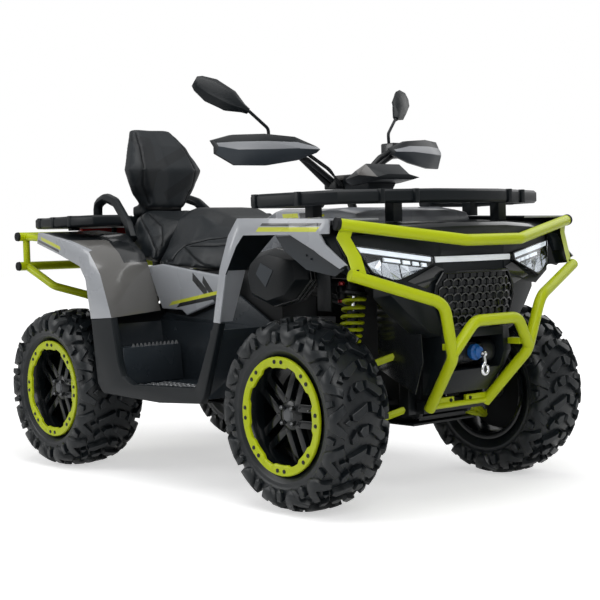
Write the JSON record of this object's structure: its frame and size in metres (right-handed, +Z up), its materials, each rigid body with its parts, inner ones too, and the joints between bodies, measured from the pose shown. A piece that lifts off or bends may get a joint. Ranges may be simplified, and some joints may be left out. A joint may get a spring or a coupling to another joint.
{
  "type": "quad bike",
  "caption": "Two-seat utility quad bike with tube bumpers, two racks, a passenger backrest and turning, steered wheels.",
  "frame": {"origin": "on the ground, at the middle of the overall length and width", "axes": "+X forwards, +Y to the rider's left, +Z up"},
  "size_m": [2.3578, 1.2064, 1.4922],
  "materials": {
    "lime_paint": "satin",
    "grey_plastic": "gloss",
    "black_plastic": "fine grain",
    "gloss_black": "gloss",
    "black_steel": "satin",
    "cast_metal": "rough",
    "tyre_rubber": "matte",
    "seat_vinyl": "grained",
    "lamp_glass": "clear",
    "tail_glass": "clear red"
  },
  "bodies": {
    "chassis": {"frame": "black_steel", "engine": "cast_metal", "front_drive": "black_steel", "rear_drive": "black_steel", "arms_front_right": "lime_paint", "arms_front_left": "lime_paint", "arms_rear_right": "lime_paint", "arms_rear_left": "lime_paint", "shock_front_right": "lime_paint", "shock_front_left": "lime_paint", "shock_rear_right": "lime_paint", "shock_rear_left": "lime_paint", "front_bumper": "lime_paint", "rear_bumper": "lime_paint", "fender_front_right": "grey_plastic", "fender_front_left": "grey_plastic", "fender_rear_right": "grey_plastic", "fender_rear_left": "grey_plastic", "fascia": "black_plastic", "grille": "black_plastic", "light_bar": "lamp_glass", "headlamp_right": "lamp_glass", "headlamp_left": "lamp_glass", "front_rack": "black_plastic", "rear_rack": "black_plastic", "side_panel_right": "grey_plastic", "side_panel_left": "grey_plastic", "footwell_right": "black_plastic", "footwell_left": "black_plastic", "tank_cover": "grey_plastic", "airbox_cover": "black_plastic", "rider_seat": "seat_vinyl", "passenger_seat": "seat_vinyl", "backrest": "seat_vinyl", "grab_handle_right": "black_plastic", "grab_handle_left": "black_plastic", "winch": "black_steel", "tail_lamp": "tail_glass"},
    "steering": {"handlebar": "black_plastic", "display_pod": "black_plastic", "mirror_right": "black_plastic", "mirror_left": "black_plastic"},
    "knuckle_right": {"knuckle_right": "cast_metal"},
    "tie_rod_right": {"tie_rod_right": "black_steel"},
    "knuckle_left": {"knuckle_left": "cast_metal"},
    "tie_rod_left": {"tie_rod_left": "black_steel"},
    "wheel_front_right": {"tyre_front_right": "tyre_rubber", "rim_front_right": "gloss_black", "ring_front_right": "lime_paint"},
    "wheel_front_left": {"tyre_front_left": "tyre_rubber", "rim_front_left": "gloss_black", "ring_front_left": "lime_paint"},
    "wheel_rear_right": {"tyre_rear_right": "tyre_rubber", "rim_rear_right": "gloss_black", "ring_rear_right": "lime_paint"},
    "wheel_rear_left": {"tyre_rear_left": "tyre_rubber", "rim_rear_left": "gloss_black", "ring_rear_left": "lime_paint"}
  },
  "joints": [
    {"name": "steering", "type": "hinge", "parent": "chassis", "child": "steering", "pos_m": [0.69, 0, 0.46], "axis": [-0.3614, 0, 0.9324], "range_deg": [-40, 40]},
    {"name": "kingpin_right", "type": "hinge", "parent": "chassis", "child": "knuckle_right", "pos_m": [0.74, -0.385, 0.33], "axis": [0, 0, 1], "range_deg": [-30, 30]},
    {"name": "wheel_front_right", "type": "hinge", "parent": "knuckle_right", "child": "wheel_front_right", "pos_m": [0.74, -0.4905, 0.32261], "axis": [0, 1, 0], "continuous": true},
    {"name": "tie_rod_right", "type": "hinge", "parent": "knuckle_right", "child": "tie_rod_right", "pos_m": [0.65, -0.4, 0.392], "axis": [0, 0, 1], "range_deg": [-30, 30]},
    {"name": "wheel_rear_right", "type": "hinge", "parent": "chassis", "child": "wheel_rear_right", "pos_m": [-0.74, -0.4655, 0.32261], "axis": [0, 1, 0], "continuous": true},
    {"name": "kingpin_left", "type": "hinge", "parent": "chassis", "child": "knuckle_left", "pos_m": [0.74, 0.385, 0.33], "axis": [0, 0, 1], "range_deg": [-30, 30]},
    {"name": "wheel_front_left", "type": "hinge", "parent": "knuckle_left", "child": "wheel_front_left", "pos_m": [0.74, 0.4905, 0.32261], "axis": [0, 1, 0], "continuous": true},
    {"name": "tie_rod_left", "type": "hinge", "parent": "knuckle_left", "child": "tie_rod_left", "pos_m": [0.65, 0.4, 0.392], "axis": [0, 0, 1], "range_deg": [-30, 30]},
    {"name": "wheel_rear_left", "type": "hinge", "parent": "chassis", "child": "wheel_rear_left", "pos_m": [-0.74, 0.4655, 0.32261], "axis": [0, 1, 0], "continuous": true}
  ],
  "couplings": [
    {"joint": "kingpin_right", "follows": "steering", "ratio": 0.75},
    {"joint": "tie_rod_right", "follows": "steering", "ratio": -0.75},
    {"joint": "kingpin_left", "follows": "steering", "ratio": 0.75},
    {"joint": "tie_rod_left", "follows": "steering", "ratio": -0.75}
  ]
}
